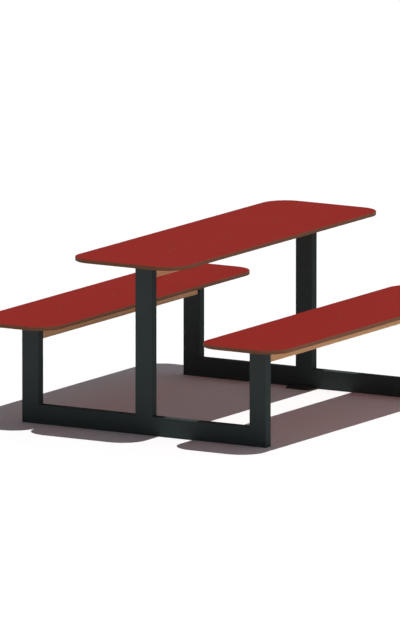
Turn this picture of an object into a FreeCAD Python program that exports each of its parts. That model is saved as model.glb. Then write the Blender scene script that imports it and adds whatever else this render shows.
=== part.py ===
import FreeCAD
import Part
import Sketcher
import math
import os
from types import SimpleNamespace

# Table and bench set: two welded tube frames, three timber rails and three laminate boards.
# Millimetres. X runs from bench to bench, Y along the boards, Z up, with the origin on the floor
# below the middle of the table.

# Driving dimensions, each one a cell of the sheet.
sizes = {
    # rectangular steel tube of the end frames
    "tubeFace": 80,
    "tubeDepth": 40,
    "tubeWall": 3,
    "tubeCornerRadius": 2,
    # where the posts and frames stand, from centre to centre
    "postSpacing": 550,
    "frameSpacing": 1310,
    # boards
    "tableHeight": 750,
    "seatHeight": 443,
    "boardThickness": 16,
    "tableWidth": 534,
    "seatWidth": 400,
    "boardOverhang": 185,
    "boardCornerRadius": 110,
    "boardEdgeChamfer": 1.5,
    # flat bars across the tops of the posts
    "bearerThickness": 6,
    "tableBearerLength": 360,
    "seatBearerLength": 250,
    "bearerCornerRadius": 6,
    # timber rails
    "railWidth": 64,
    "railDepth": 76,
    "railEdgeRadius": 4,
    "railEndGap": 1,
    # steel fins in the ends of the rails
    "finThickness": 6,
    "finLength": 100,
    "finDrop": 6,
    "finCover": 18,
    "finSlotGap": 0.5,
    # connector bolts and sleeve nuts across the rails
    "railBoltDrop": 30,
    "railBoltInset": 32,
    "railBoltPitch": 44,
    "sleeveDiameter": 9,
    "sleeveHoleGap": 0.25,
    "sleeveEndGap": 12,
    "sleeveBoreDepth": 34,
    "connectorHeadDiameter": 17,
    "connectorHeadHeight": 2.5,
    "connectorHeadChamfer": 0.8,
    "connectorBoltDiameter": 6,
    "connectorBoltLength": 38,
    "connectorSocketWidth": 4,
    "connectorSocketDepth": 1.6,
    "threadGap": 0.1,
    # countersunk screws down the middle of the boards
    "boardScrewInset": 204,
    "boardScrewDiameter": 5,
    "boardScrewLength": 60,
    "boardScrewHeadDiameter": 9.5,
    "boardScrewRim": 0.4,
    "boardScrewSink": 0.2,
    "boardScrewTip": 6,
    "boardScrewSocketWidth": 3,
    "boardScrewSocketDepth": 2,
    "boardScrewHoleGap": 0.3,
    # screws up through the bearers
    "bearerScrewInset": 22,
    "bearerScrewDiameter": 5.5,
    "bearerScrewBite": 11,
    "bearerScrewHeadDiameter": 11,
    "bearerScrewHeadHeight": 3.4,
    "bearerScrewHeadChamfer": 1.2,
    "bearerScrewSocketWidth": 4,
    "bearerScrewSocketDepth": 2,
    "bearerScrewHoleGap": 0.4,
    "bearerScrewSpace": 1.5,
    # plates that hold the frames to the ground
    "anchorWidth": 110,
    "anchorReach": 60,
    "anchorThickness": 8,
    "anchorHoleDiameter": 14,
    "anchorHoleInset": 30,
    "anchorCornerRadius": 10,
}

doc = FreeCAD.newDocument("table_and_bench_set")
sheet = doc.addObject("Spreadsheet::Sheet", "Sizes")
for row, (alias, number) in enumerate(sizes.items(), start=1):
    sheet.set(f"A{row}", alias)
    sheet.set(f"B{row}", str(number))
    sheet.setAlias(f"B{row}", alias)
doc.recompute()


class Size:
    """A length as a number and as the formula on the sheet's cells that gives it."""

    def __init__(self, value, formula):
        self.value = value
        self.formula = formula

    def __add__(self, other):
        other = as_size(other)
        return Size(self.value + other.value, f"({self.formula} + {other.formula})")

    def __sub__(self, other):
        other = as_size(other)
        return Size(self.value - other.value, f"({self.formula} - {other.formula})")

    def __mul__(self, number):
        return Size(self.value * number, f"({self.formula} * {number})")

    def __truediv__(self, number):
        return Size(self.value / number, f"({self.formula} / {number})")

    def __neg__(self):
        return Size(-self.value, f"(-{self.formula})")

    __rmul__ = __mul__


def as_size(length):
    return length if isinstance(length, Size) else Size(length, str(length))


def larger(first, second):
    return Size(max(first.value, second.value), f"max({first.formula}; {second.formula})")


dims = SimpleNamespace(**{alias: Size(float(number), f"Sizes.{alias}")
                          for alias, number in sizes.items()})

# Sizes that follow from the driving ones.
frameWidth = 2 * dims.postSpacing + dims.tubeFace
frameReach = dims.frameSpacing / 2
postInnerFace = frameReach - dims.tubeDepth / 2
tableUnderside = dims.tableHeight - dims.boardThickness
seatUnderside = dims.seatHeight - dims.boardThickness
boardLength = dims.frameSpacing + dims.tubeDepth + 2 * dims.boardOverhang
tubeInnerRadius = larger(dims.tubeCornerRadius - dims.tubeWall, dims.tubeWall / 6)
railLength = 2 * postInnerFace - 2 * dims.railEndGap
railHalf = railLength / 2
finHeight = dims.railDepth - dims.finDrop - dims.finCover
slotWidth = dims.finThickness + 2 * dims.finSlotGap
slotLength = dims.finLength - dims.railEndGap + dims.finSlotGap
slotDepth = dims.finDrop + finHeight + dims.finSlotGap
sleeveHole = dims.sleeveDiameter + 2 * dims.sleeveHoleGap
sleeveBore = dims.connectorBoltDiameter + 2 * dims.threadGap
sleeveLength = dims.railWidth - dims.sleeveEndGap
boardScrewReach = railHalf - dims.boardScrewInset
boardScrewHole = dims.boardScrewDiameter + 2 * dims.boardScrewHoleGap
boardScrewPilot = dims.boardScrewDiameter + 2 * dims.threadGap
boardScrewPilotDepth = dims.boardScrewLength + dims.boardScrewSink - dims.boardThickness + dims.threadGap
bearerScrewHole = dims.bearerScrewDiameter + 2 * dims.bearerScrewHoleGap
bearerScrewPilot = dims.bearerScrewDiameter + 2 * dims.threadGap
bearerScrewPilotDepth = dims.bearerScrewBite + dims.bearerScrewSpace

# The three lines of posts: name, distance from the middle, underside, board width, bearer length.
lines = (
    ("left_seat", -dims.postSpacing, seatUnderside, dims.seatWidth, dims.seatBearerLength),
    ("table", as_size(0), tableUnderside, dims.tableWidth, dims.tableBearerLength),
    ("right_seat", dims.postSpacing, seatUnderside, dims.seatWidth, dims.seatBearerLength),
)
# The two end frames: name, distance from the middle and the turn that faces them inwards.
ends = (
    ("front", -frameReach, -postInnerFace, 0),
    ("rear", frameReach, postInnerFace, 180),
)
upright = FreeCAD.Vector(0, 0, 1)
nodes = []


def bind(item, field, size):
    item.setExpression(field, as_size(size).formula)


def place(item, x, y, z, axis=upright, turn=0):
    item.Placement = FreeCAD.Placement(FreeCAD.Vector(), FreeCAD.Rotation(axis, turn))
    bind(item, "Placement.Base.x", x)
    bind(item, "Placement.Base.y", y)
    bind(item, "Placement.Base.z", z)


def new_body(label):
    body = doc.addObject("PartDesign::Body", label)
    body.Label = label
    return body


def origin_plane(body, role):
    return next(plane for plane in body.Origin.OriginFeatures if plane.Role == role)


def new_sketch(body, name, role, across=0, up=0, out=0):
    sketch = body.newObject("Sketcher::SketchObject", name)
    sketch.AttachmentSupport = (origin_plane(body, role), [""])
    sketch.MapMode = "FlatFace"
    bind(sketch, "AttachmentOffset.Base.x", across)
    bind(sketch, "AttachmentOffset.Base.y", up)
    bind(sketch, "AttachmentOffset.Base.z", out)
    return sketch


def dimension(sketch, size, kind, *where):
    index = sketch.addConstraint(Sketcher.Constraint(kind, *where, size.value))
    sketch.setExpression(f"Constraints[{index}]", size.formula)


def hold_point(sketch, edge, end, x, y):
    for kind, axis, size in (("DistanceX", -2, as_size(x)), ("DistanceY", -1, as_size(y))):
        if size.formula == "0":
            sketch.addConstraint(Sketcher.Constraint("PointOnObject", edge, end, axis))
        else:
            dimension(sketch, size, kind, -1, 1, edge, end)


def polygon(sketch, corners):
    points = [FreeCAD.Vector(as_size(x).value, as_size(y).value, 0) for x, y in corners]
    first = sketch.GeometryCount
    for point, following in zip(points, points[1:] + points[:1]):
        sketch.addGeometry(Part.LineSegment(point, following))
    for index in range(len(corners)):
        following = first + (index + 1) % len(corners)
        sketch.addConstraint(Sketcher.Constraint("Coincident", first + index, 2, following, 1))
    for index, corner in enumerate(corners):
        hold_point(sketch, first + index, 1, *corner)


def rounded_rectangle(sketch, width, height, radius):
    """Four sides and four corner arcs about the sketch's origin, counterclockwise."""
    first = sketch.GeometryCount
    side, rise, bend = width.value / 2, height.value / 2, radius.value
    starts = ((bend - side, -rise), (side, bend - rise), (side - bend, rise), (-side, rise - bend))
    finishes = ((side - bend, -rise), (side, rise - bend), (bend - side, rise), (-side, bend - rise))
    centres = ((side - bend, bend - rise), (side - bend, rise - bend), (bend - side, rise - bend),
               (bend - side, bend - rise))
    for quarter in range(4):
        sketch.addGeometry(Part.LineSegment(FreeCAD.Vector(*starts[quarter], 0),
                                            FreeCAD.Vector(*finishes[quarter], 0)))
        circle = Part.Circle(FreeCAD.Vector(*centres[quarter], 0), upright, bend)
        angle = (quarter - 1) * math.pi / 2
        sketch.addGeometry(Part.ArcOfCircle(circle, angle, angle + math.pi / 2))
    bottom, right, top, left = (first + 2 * quarter for quarter in range(4))
    for quarter in range(8):
        following = first + (quarter + 1) % 8
        sketch.addConstraint(Sketcher.Constraint("Tangent", first + quarter, 2, following, 1))
    for arc in (3, 5, 7):
        sketch.addConstraint(Sketcher.Constraint("Equal", first + 1, first + arc))
    sketch.addConstraint(Sketcher.Constraint("Symmetric", bottom, 1, bottom, 2, -2))
    sketch.addConstraint(Sketcher.Constraint("Symmetric", right, 1, right, 2, -1))
    sketch.addConstraint(Sketcher.Constraint("Horizontal", top))
    sketch.addConstraint(Sketcher.Constraint("Vertical", left))
    dimension(sketch, radius, "Radius", first + 1)
    dimension(sketch, width, "DistanceX", left, 1, right, 1)
    dimension(sketch, height, "DistanceY", bottom, 1, top, 1)


def round_hole(sketch, x, y, diameter):
    centre = FreeCAD.Vector(as_size(x).value, as_size(y).value, 0)
    edge = sketch.addGeometry(Part.Circle(centre, upright, diameter.value / 2))
    hold_point(sketch, edge, 3, x, y)
    dimension(sketch, diameter, "Diameter", edge)


def hexagon(sketch, width):
    """A regular hexagon about the origin, with the given width across its flats."""
    radius = width * round(1 / math.sqrt(3), 6)
    corners = [FreeCAD.Vector(radius.value * math.cos(k * math.pi / 3),
                              radius.value * math.sin(k * math.pi / 3), 0) for k in range(6)]
    ring = sketch.addGeometry(Part.Circle(FreeCAD.Vector(), upright, radius.value), True)
    hold_point(sketch, ring, 3, 0, 0)
    dimension(sketch, radius, "Radius", ring)
    for k in range(6):
        sketch.addGeometry(Part.LineSegment(corners[k], corners[(k + 1) % 6]))
    for k in range(6):
        sketch.addConstraint(Sketcher.Constraint("Coincident", ring + 1 + k, 2, ring + 1 + (k + 1) % 6, 1))
        sketch.addConstraint(Sketcher.Constraint("PointOnObject", ring + 1 + k, 1, ring))
    for k in range(1, 6):
        sketch.addConstraint(Sketcher.Constraint("Equal", ring + 1, ring + 1 + k))
    sketch.addConstraint(Sketcher.Constraint("PointOnObject", ring + 1, 1, -1))


def pad(body, sketch, length, both_ways=False):
    feature = body.newObject("PartDesign::Pad", "Pad")
    feature.Profile = sketch
    feature.SideType = "Symmetric" if both_ways else "One side"
    bind(feature, "Length", length)
    return feature


def pocket(body, sketch, depth=None, upwards=False):
    """A cut as deep as given, down into the body or up into it, or right through both ways."""
    doc.recompute()
    before = body.Shape.Volume
    feature = body.newObject("PartDesign::Pocket", "Pocket")
    feature.Profile = sketch
    feature.Reversed = upwards
    if depth is None:
        feature.Type = "ThroughAll"
        feature.SideType = "Symmetric"
    else:
        bind(feature, "Length", depth)
    doc.recompute()
    if body.Shape.Volume >= before:
        raise RuntimeError(f"{body.Label}: {feature.Label} cuts nothing")
    return feature


def revolve(body, corners):
    """A turned solid about Z, from its half outline of radius and height."""
    sketch = new_sketch(body, "HalfOutline", "XZ_Plane")
    polygon(sketch, corners)
    feature = body.newObject("PartDesign::Revolution", "Revolution")
    feature.Profile = sketch
    feature.ReferenceAxis = (sketch, ["V_Axis"])
    return feature


def tube_section(sketch, width, height):
    rounded_rectangle(sketch, width, height, dims.tubeCornerRadius)
    walls = 2 * dims.tubeWall
    rounded_rectangle(sketch, width - walls, height - walls, tubeInnerRadius)


# Base beam: tube on its narrow side, its ends mitred to meet the seat posts.
def base_beam(end, y):
    body = new_body(f"{end}_base_beam")
    section = new_sketch(body, "Section", "YZ_Plane", 0, dims.tubeFace / 2)
    tube_section(section, dims.tubeDepth, dims.tubeFace)
    pad(body, section, frameWidth, both_ways=True)
    mitres = new_sketch(body, "Mitres", "XZ_Plane")
    tip = frameWidth / 2
    shoulder = tip - dims.tubeFace
    polygon(mitres, ((tip, 0), (tip, dims.tubeFace), (shoulder, dims.tubeFace)))
    polygon(mitres, ((-tip, 0), (-shoulder, dims.tubeFace), (-tip, dims.tubeFace)))
    pocket(body, mitres)
    place(body, 0, y, 0)
    nodes.append(body)


# Seat post: upright tube, mitred at its foot, closed by its bearer.
def seat_post(end, line, x, y, underside):
    body = new_body(f"{end}_{line}_post")
    section = new_sketch(body, "Section", "XY_Plane")
    tube_section(section, dims.tubeFace, dims.tubeDepth)
    pad(body, section, underside - dims.bearerThickness)
    mitre = new_sketch(body, "Mitre", "XZ_Plane")
    half = dims.tubeFace / 2
    polygon(mitre, ((-half, 0), (half, 0), (half, dims.tubeFace)))
    pocket(body, mitre)
    place(body, x, y, 0, turn=180 if line == "right_seat" else 0)
    nodes.append(body)


# Table post: upright tube that stands on the middle of the base beam.
def table_post(end, x, y, underside):
    body = new_body(f"{end}_table_post")
    section = new_sketch(body, "Section", "XY_Plane")
    tube_section(section, dims.tubeFace, dims.tubeDepth)
    pad(body, section, underside - dims.bearerThickness - dims.tubeFace)
    place(body, x, y, dims.tubeFace)
    nodes.append(body)


# Bearer: flat bar across the top of a post, screwed to the board from below.
def bearer(end, line, x, y, underside, length):
    body = new_body(f"{end}_{line}_bearer")
    outline = new_sketch(body, "Outline", "XY_Plane")
    rounded_rectangle(outline, length, dims.tubeDepth, dims.bearerCornerRadius)
    reach = length / 2 - dims.bearerScrewInset
    round_hole(outline, reach, 0, bearerScrewHole)
    round_hole(outline, -reach, 0, bearerScrewHole)
    pad(body, outline, dims.bearerThickness)
    place(body, x, y, underside - dims.bearerThickness)
    nodes.append(body)


# Fin: plate on the inner face of a post, let into the end of the rail.
def rail_fin(end, line, x, face, turn, underside):
    body = new_body(f"{end}_{line}_rail_fin")
    outline = new_sketch(body, "Outline", "YZ_Plane")
    head = -dims.finDrop
    foot = head - finHeight
    polygon(outline, ((0, foot), (dims.finLength, foot), (dims.finLength, head), (0, head)))
    for inset in (dims.railBoltInset, dims.railBoltInset + dims.railBoltPitch):
        round_hole(outline, inset, -dims.railBoltDrop, sleeveHole)
    pad(body, outline, dims.finThickness, both_ways=True)
    place(body, x, face, underside, turn=turn)
    nodes.append(body)


# Anchor plate: lies on the floor against the inner side of the base beam.
def anchor_plate(end, face, turn):
    body = new_body(f"{end}_anchor_plate")
    outline = new_sketch(body, "Outline", "XY_Plane")
    half = dims.anchorWidth / 2
    polygon(outline, ((-half, 0), (half, 0), (half, dims.anchorReach), (-half, dims.anchorReach)))
    round_hole(outline, 0, dims.anchorHoleInset, dims.anchorHoleDiameter)
    plate = pad(body, outline, dims.anchorThickness)
    doc.recompute()
    corners = []
    for index, edge in enumerate(plate.Shape.Edges, start=1):
        low, high = edge.BoundBox.ZMin, edge.BoundBox.ZMax
        standing = math.isclose(high - low, dims.anchorThickness.value)
        if standing and math.isclose(edge.CenterOfMass.y, dims.anchorReach.value):
            corners.append(f"Edge{index}")
    rounding = body.newObject("PartDesign::Fillet", "Corners")
    rounding.Base = (plate, corners)
    bind(rounding, "Radius", dims.anchorCornerRadius)
    place(body, 0, face, 0, turn=turn)
    nodes.append(body)


# Rail: timber with a slot in the top of each end for the fin, and holes for its fixings.
def rail(line, x, underside):
    body = new_body(f"{line}_rail")
    section = new_sketch(body, "Section", "XZ_Plane", 0, -dims.railDepth / 2)
    rounded_rectangle(section, dims.railWidth, dims.railDepth, dims.railEdgeRadius)
    pad(body, section, railLength, both_ways=True)
    slots = new_sketch(body, "Slots", "XY_Plane")
    half = slotWidth / 2
    stop = railHalf - slotLength
    polygon(slots, ((-half, stop), (half, stop), (half, railHalf), (-half, railHalf)))
    polygon(slots, ((-half, -railHalf), (half, -railHalf), (half, -stop), (-half, -stop)))
    pocket(body, slots, slotDepth)
    bolts = new_sketch(body, "BoltHoles", "YZ_Plane")
    for inset in (dims.railBoltInset, dims.railBoltInset + dims.railBoltPitch):
        for way in (-1, 1):
            round_hole(bolts, way * (postInnerFace - inset), -dims.railBoltDrop, sleeveHole)
    pocket(body, bolts)
    pilots = new_sketch(body, "ScrewHoles", "XY_Plane")
    for way in (-1, 0, 1):
        round_hole(pilots, 0, way * boardScrewReach if way else 0, boardScrewPilot)
    pocket(body, pilots, boardScrewPilotDepth)
    place(body, x, 0, underside)
    nodes.append(body)


# Board: compact laminate with rounded corners and chamfered edges.
def board(line, x, underside, width, bearer_length):
    body = new_body(f"{line}_board")
    outline = new_sketch(body, "Outline", "XY_Plane")
    rounded_rectangle(outline, width, boardLength, dims.boardCornerRadius)
    slab = pad(body, outline, dims.boardThickness)
    doc.recompute()
    flats = []
    for index, face in enumerate(slab.Shape.Faces, start=1):
        if math.isclose(face.BoundBox.ZMin, face.BoundBox.ZMax, abs_tol=1e-6):
            flats.append(f"Face{index}")
    edges = body.newObject("PartDesign::Chamfer", "Edges")
    edges.Base = (slab, flats)
    bind(edges, "Size", dims.boardEdgeChamfer)
    doc.recompute()
    tops = new_sketch(body, "TopScrews", "XY_Plane", 0, 0, dims.boardThickness)
    for way in (-1, 0, 1):
        round_hole(tops, 0, way * boardScrewReach if way else 0, boardScrewHole)
    sunk = body.newObject("PartDesign::Hole", "Countersinks")
    sunk.Profile = tops
    sunk.ThreadType = "None"
    sunk.DepthType = "ThroughAll"
    sunk.HoleCutType = "Countersink"
    sunk.HoleCutCountersinkAngle = 90
    bind(sunk, "Diameter", boardScrewHole)
    head_seat = dims.boardScrewRim + dims.boardScrewSink + dims.threadGap
    bind(sunk, "HoleCutDiameter", dims.boardScrewHeadDiameter + 2 * head_seat)
    under = new_sketch(body, "BearerScrews", "XY_Plane")
    reach = bearer_length / 2 - dims.bearerScrewInset
    for across in (-reach, reach):
        for along in (-frameReach, frameReach):
            round_hole(under, across, along, bearerScrewPilot)
    pocket(body, under, bearerScrewPilotDepth, upwards=True)
    place(body, x, 0, underside)
    nodes.append(body)


def socket(body, width, depth, height=0):
    """A hexagon socket sunk into a head whose top is at the given height."""
    opening = new_sketch(body, "Socket", "XY_Plane", 0, 0, height)
    hexagon(opening, width)
    pocket(body, opening, depth)


# Countersunk screw, its head's top at its own origin, with a pointed tip.
def board_screw():
    body = new_body("board_screw_pattern")
    radius = dims.boardScrewDiameter / 2
    head = dims.boardScrewHeadDiameter / 2
    neck = dims.boardScrewRim + head - radius
    revolve(body, ((0, 0), (head, 0), (head, -dims.boardScrewRim), (radius, -neck),
                   (radius, dims.boardScrewTip - dims.boardScrewLength), (0, -dims.boardScrewLength)))
    socket(body, dims.boardScrewSocketWidth, dims.boardScrewSocketDepth)
    return body


# Pan-headed screw, pointing down, the underside of its head at its own origin.
def bearer_screw():
    body = new_body("bearer_screw_pattern")
    radius = dims.bearerScrewDiameter / 2
    head = dims.bearerScrewHeadDiameter / 2
    crown = dims.bearerScrewHeadHeight
    chamfer = dims.bearerScrewHeadChamfer
    tip = -(dims.bearerThickness + dims.bearerScrewBite)
    revolve(body, ((0, tip), (radius, tip), (radius, 0), (head, 0), (head, crown - chamfer),
                   (head - chamfer, crown), (0, crown)))
    socket(body, dims.bearerScrewSocketWidth, dims.bearerScrewSocketDepth, crown)
    return body


def connector_head():
    """The half outline of a connector's flat head, from its underside out and up to its middle."""
    head = dims.connectorHeadDiameter / 2
    shoulder = dims.connectorHeadHeight - dims.connectorHeadChamfer
    return ((head, 0), (head, shoulder), (head - dims.connectorHeadChamfer, dims.connectorHeadHeight),
            (0, dims.connectorHeadHeight))


# Connector bolt, pointing down, the underside of its flat head at its own origin.
def connector_bolt():
    body = new_body("connector_bolt_pattern")
    radius = dims.connectorBoltDiameter / 2
    revolve(body, ((0, -dims.connectorBoltLength), (radius, -dims.connectorBoltLength), (radius, 0),
                   *connector_head()))
    socket(body, dims.connectorSocketWidth, dims.connectorSocketDepth, dims.connectorHeadHeight)
    return body


# Sleeve nut: the same flat head on a barrel that takes the bolt.
def sleeve_nut():
    body = new_body("sleeve_nut_pattern")
    radius = dims.sleeveDiameter / 2
    bore = sleeveBore / 2
    bottom = dims.sleeveBoreDepth - sleeveLength
    revolve(body, ((0, bottom), (bore, bottom), (bore, -sleeveLength), (radius, -sleeveLength),
                   (radius, 0), *connector_head()))
    socket(body, dims.connectorSocketWidth, dims.connectorSocketDepth, dims.connectorHeadHeight)
    return body


def fastener_group(label, pattern, places, axis=upright, turn=0):
    copies = []
    for x, y, z in places:
        copy = doc.addObject("App::Link", f"{label}_copy")
        copy.LinkedObject = pattern
        place(copy, x, y, z, axis, turn)
        copies.append(copy)
    group = doc.addObject("Part::Compound", label)
    group.Label = label
    group.Links = copies
    nodes.append(group)


for end, y, face, turn in ends:
    base_beam(end, y)
    for line, x, underside, width, bearer_length in lines:
        if line == "table":
            table_post(end, x, y, underside)
        else:
            seat_post(end, line, x, y, underside)
        bearer(end, line, x, y, underside, bearer_length)
        rail_fin(end, line, x, face, turn, underside)
    anchor_plate(end, face, turn)

boardScrew = board_screw()
bearerScrew = bearer_screw()
connectorBolt = connector_bolt()
sleeveNut = sleeve_nut()
across = FreeCAD.Vector(0, 1, 0)
over = FreeCAD.Vector(1, 0, 0)
for line, x, underside, width, bearer_length in lines:
    rail(line, x, underside)
    board(line, x, underside, width, bearer_length)
    top = underside + dims.boardThickness - dims.boardScrewSink
    fastener_group(f"{line}_board_screws", boardScrew,
                   [(x, y, top) for y in (-boardScrewReach, as_size(0), boardScrewReach)])
    reach = bearer_length / 2 - dims.bearerScrewInset
    bearer_screw_places = []
    for y in (-frameReach, frameReach):
        bearer_screw_places.append((x - reach, y, underside - dims.bearerThickness))
        bearer_screw_places.append((x + reach, y, underside - dims.bearerThickness))
    fastener_group(f"{line}_bearer_screws", bearerScrew, bearer_screw_places, over, 180)
    bolt_lines = []
    for inset in (dims.railBoltInset, dims.railBoltInset + dims.railBoltPitch):
        bolt_lines += [inset - postInnerFace, postInnerFace - inset]
    height = underside - dims.railBoltDrop
    fastener_group(f"{line}_connector_bolts", connectorBolt,
                   [(x + dims.railWidth / 2, y, height) for y in bolt_lines], across, 90)
    fastener_group(f"{line}_sleeve_nuts", sleeveNut,
                   [(x - dims.railWidth / 2, y, height) for y in bolt_lines], across, -90)

doc.recompute()
for item in doc.Objects:
    if "Invalid" in item.State or "Error" in item.State:
        raise RuntimeError(f"{item.Label}: {item.State}")
for node in nodes:
    if node.Shape.isNull() or not node.Shape.isValid():
        raise RuntimeError(f"{node.Label}: no sound shape")

os.makedirs("parts", exist_ok=True)
for node in nodes:
    node.Shape.exportStep(f"parts/{node.Label}.step")
    print(f"{node.Label}: {len(node.Shape.Solids)} solid, {node.Shape.Volume / 1000:.1f} cm3")
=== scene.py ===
import math

import bmesh
import bpy
from mathutils import Matrix, Vector


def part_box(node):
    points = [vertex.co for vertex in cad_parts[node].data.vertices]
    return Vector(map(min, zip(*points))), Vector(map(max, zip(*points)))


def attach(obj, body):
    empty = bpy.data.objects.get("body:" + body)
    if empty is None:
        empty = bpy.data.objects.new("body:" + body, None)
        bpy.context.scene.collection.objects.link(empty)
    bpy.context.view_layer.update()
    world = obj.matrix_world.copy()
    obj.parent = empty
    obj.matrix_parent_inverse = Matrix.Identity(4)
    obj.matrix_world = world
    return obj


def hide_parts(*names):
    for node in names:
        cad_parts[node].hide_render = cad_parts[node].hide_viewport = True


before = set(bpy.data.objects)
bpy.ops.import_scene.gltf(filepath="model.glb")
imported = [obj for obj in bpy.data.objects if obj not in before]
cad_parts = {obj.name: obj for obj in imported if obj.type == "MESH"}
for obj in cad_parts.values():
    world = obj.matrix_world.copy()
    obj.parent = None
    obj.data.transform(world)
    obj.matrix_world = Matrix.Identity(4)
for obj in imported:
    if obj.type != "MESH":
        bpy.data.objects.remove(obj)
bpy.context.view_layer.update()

scene = bpy.context.scene
mm = 0.001
ends = ("front", "rear")
lines = ("left_seat", "table", "right_seat")
print("frame: %d pieces" % len(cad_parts))


def linear(hexColour):
    channels = [int(hexColour[i:i + 2], 16) / 255 for i in (1, 3, 5)]
    return [c / 12.92 if c <= 0.04045 else ((c + 0.055) / 1.055) ** 2.4 for c in channels] + [1.0]


def addNode(tree, kind, inputs=None, **settings):
    node = tree.nodes.new(kind)
    for name, value in settings.items():
        setattr(node, name, value)
    for socket, value in (inputs or {}).items():
        if isinstance(value, bpy.types.NodeSocket):
            tree.links.new(value, node.inputs[socket])
        else:
            node.inputs[socket].default_value = value
    return node


def startMaterial(name):
    material = bpy.data.materials.new(name)
    material.use_nodes = True
    material.node_tree.nodes.clear()
    return material, material.node_tree


def addObject(name, data):
    item = bpy.data.objects.new(name, data)
    scene.collection.objects.link(item)
    return item


# how many times a pattern of this size repeats in a metre
def perMetre(sizeMm):
    return 1000 / sizeMm


noiseSpan = (0.3, 0.7)  # where most of a noise texture's values lie


# Polyester powder coat baked on steel: near black with a fine even grain, dull, paler on rubbed corners.
powderCoat = {
    "tone": "#3a4140",
    "paleTone": "#424948",
    "rubbedTone": "#4a5150",
    "cloudMm": 170,
    "cornerSpan": (1.12, 1.42),  # sum of the normal's parts: 1 on a flat face, 1.41 halfway round a corner
    "rubMm": 14,
    "rubSpan": (0.42, 0.72),
    "rubShare": 0.8,
    "grainTone": "#4b5352",
    "grainMm": 2.2,  # the real grain is about 0.6 mm, drawn coarser so that it shows
    "grainSpan": (0.45, 0.75),
    "grainShare": 0.8,
    "grainHeightMm": 0.12,
    "roughness": (0.65, 0.8),
    "specular": 0.004,
}


def makePowderCoat(spec):
    material, tree = startMaterial("blackPowderCoatedSteel")
    place = addNode(tree, "ShaderNodeTexCoord").outputs["Object"]
    clouds = addNode(tree, "ShaderNodeTexNoise", {
        "Vector": place, "Scale": perMetre(spec["cloudMm"]), "Detail": 4.0, "Roughness": 0.6}).outputs["Fac"]
    tone = addNode(tree, "ShaderNodeMix", {
        0: clouds, 6: linear(spec["tone"]), 7: linear(spec["paleTone"])}, data_type="RGBA").outputs[2]
    # a rounded corner is where the normal leaves the three main directions
    normal = addNode(tree, "ShaderNodeNewGeometry").outputs["Normal"]
    spread = addNode(tree, "ShaderNodeVectorMath", {0: normal}, operation="ABSOLUTE").outputs[0]
    corner = addNode(tree, "ShaderNodeVectorMath", {
        0: spread, 1: (1.0, 1.0, 1.0)}, operation="DOT_PRODUCT").outputs["Value"]
    cornerMask = addNode(tree, "ShaderNodeMapRange", {
        "Value": corner, "From Min": spec["cornerSpan"][0], "From Max": spec["cornerSpan"][1]}).outputs[0]
    rub = addNode(tree, "ShaderNodeTexNoise", {
        "Vector": place, "Scale": perMetre(spec["rubMm"]), "Detail": 5.0, "Roughness": 0.7}).outputs["Fac"]
    rubMask = addNode(tree, "ShaderNodeMapRange", {
        "Value": rub, "From Min": spec["rubSpan"][0], "From Max": spec["rubSpan"][1],
        "To Max": spec["rubShare"]}).outputs[0]
    worn = addNode(tree, "ShaderNodeMath", {0: cornerMask, 1: rubMask}, operation="MULTIPLY").outputs[0]
    rubbed = addNode(tree, "ShaderNodeMix", {
        0: worn, 6: tone, 7: linear(spec["rubbedTone"])}, data_type="RGBA").outputs[2]
    # the high points of the grain catch a little more light
    grain = addNode(tree, "ShaderNodeTexNoise", {
        "Vector": place, "Scale": perMetre(spec["grainMm"]), "Detail": 2.0}).outputs["Fac"]
    grainMask = addNode(tree, "ShaderNodeMapRange", {
        "Value": grain, "From Min": spec["grainSpan"][0], "From Max": spec["grainSpan"][1],
        "To Max": spec["grainShare"]}).outputs[0]
    colour = addNode(tree, "ShaderNodeMix", {
        0: grainMask, 6: rubbed, 7: linear(spec["grainTone"])}, data_type="RGBA").outputs[2]
    roughness = addNode(tree, "ShaderNodeMapRange", {
        "Value": clouds, "From Min": noiseSpan[0], "From Max": noiseSpan[1],
        "To Min": spec["roughness"][0], "To Max": spec["roughness"][1]}).outputs[0]
    bump = addNode(tree, "ShaderNodeBump", {
        "Height": grain, "Strength": 0.5, "Distance": spec["grainHeightMm"] * mm}).outputs[0]
    shader = addNode(tree, "ShaderNodeBsdfPrincipled", {
        "Base Color": colour, "Roughness": roughness, "Normal": bump, "Specular IOR Level": spec["specular"]})
    addNode(tree, "ShaderNodeOutputMaterial", {"Surface": shader.outputs[0]})
    return material


# Melamine decor on compact laminate: one deep red, pressed with a fine pearl, dull at every angle.
redDecor = {
    "tone": "#8b2721",
    "paleTone": "#8e2923",
    "scuffTone": "#94332d",
    "cloudMm": 240,
    "scuffMm": (16, 60, 60),
    "scuffTurn": 0.5,
    "scuffSpan": (0.58, 0.8),
    "scuffShare": 0.3,
    "pearlTone": "#993630",
    "pearlMm": 2.4,  # the real pearl is about 0.8 mm, drawn coarser so that it shows
    "pearlSpan": (0.45, 0.75),
    "pearlShare": 0.6,
    "pearlHeightMm": 0.08,
    "dullSpan": (0.35, 0.7),
    "roughness": (0.66, 0.78),
    "specular": 0.005,
}


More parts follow.
